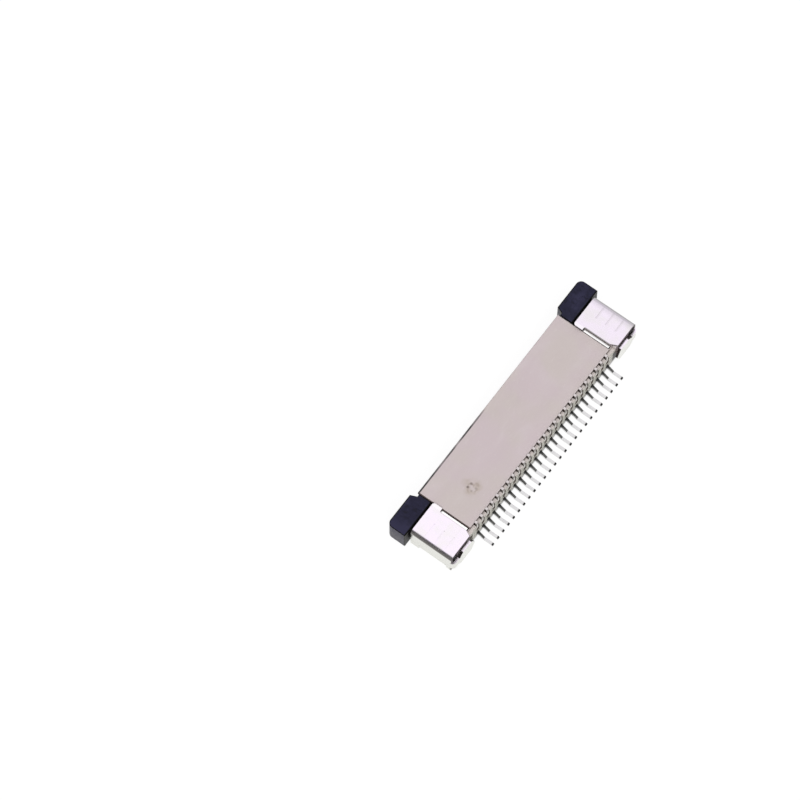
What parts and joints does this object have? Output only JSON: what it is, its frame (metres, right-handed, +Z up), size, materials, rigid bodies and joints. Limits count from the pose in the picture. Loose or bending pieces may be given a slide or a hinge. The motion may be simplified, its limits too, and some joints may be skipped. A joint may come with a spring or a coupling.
{
  "type": "fpc connector",
  "caption": "Board-mounted connector for a flat flexible cable, with a sliding actuator that clamps the cable on a row of spring contacts.",
  "frame": {"origin": "centre of the bounding box, on the board plane under the solder feet", "axes": "+X along the row of contacts, +Y out of the cable mouth, +Z up from the board"},
  "size_m": [0.0186, 0.0052, 0.0018],
  "materials": {
    "housing_resin": "beige moulded resin, satin",
    "slider_resin": "navy-black moulded resin, satin",
    "tinned_sheet": "matt tin plating on copper alloy sheet",
    "tinned_contact": "tin plating on copper alloy"
  },
  "bodies": {
    "base": {"housing": "housing_resin", "left_hold_down": "tinned_sheet", "right_hold_down": "tinned_sheet", "contact_01": "tinned_contact", "contact_02": "tinned_contact", "contact_03": "tinned_contact", "contact_04": "tinned_contact", "contact_05": "tinned_contact", "contact_06": "tinned_contact", "contact_07": "tinned_contact", "contact_08": "tinned_contact", "contact_09": "tinned_contact", "contact_10": "tinned_contact", "contact_11": "tinned_contact", "contact_12": "tinned_contact", "contact_13": "tinned_contact", "contact_14": "tinned_contact", "contact_15": "tinned_contact", "contact_16": "tinned_contact", "contact_17": "tinned_contact", "contact_18": "tinned_contact", "contact_19": "tinned_contact", "contact_20": "tinned_contact", "contact_21": "tinned_contact", "contact_22": "tinned_contact", "contact_23": "tinned_contact", "contact_24": "tinned_contact", "contact_25": "tinned_contact", "contact_26": "tinned_contact"},
    "slider": {"slider": "slider_resin"}
  },
  "joints": [
    {"name": "slider_slide", "type": "slide", "parent": "base", "child": "slider", "axis": [0, 1, 0], "range_m": [0, 0.0009]}
  ]
}
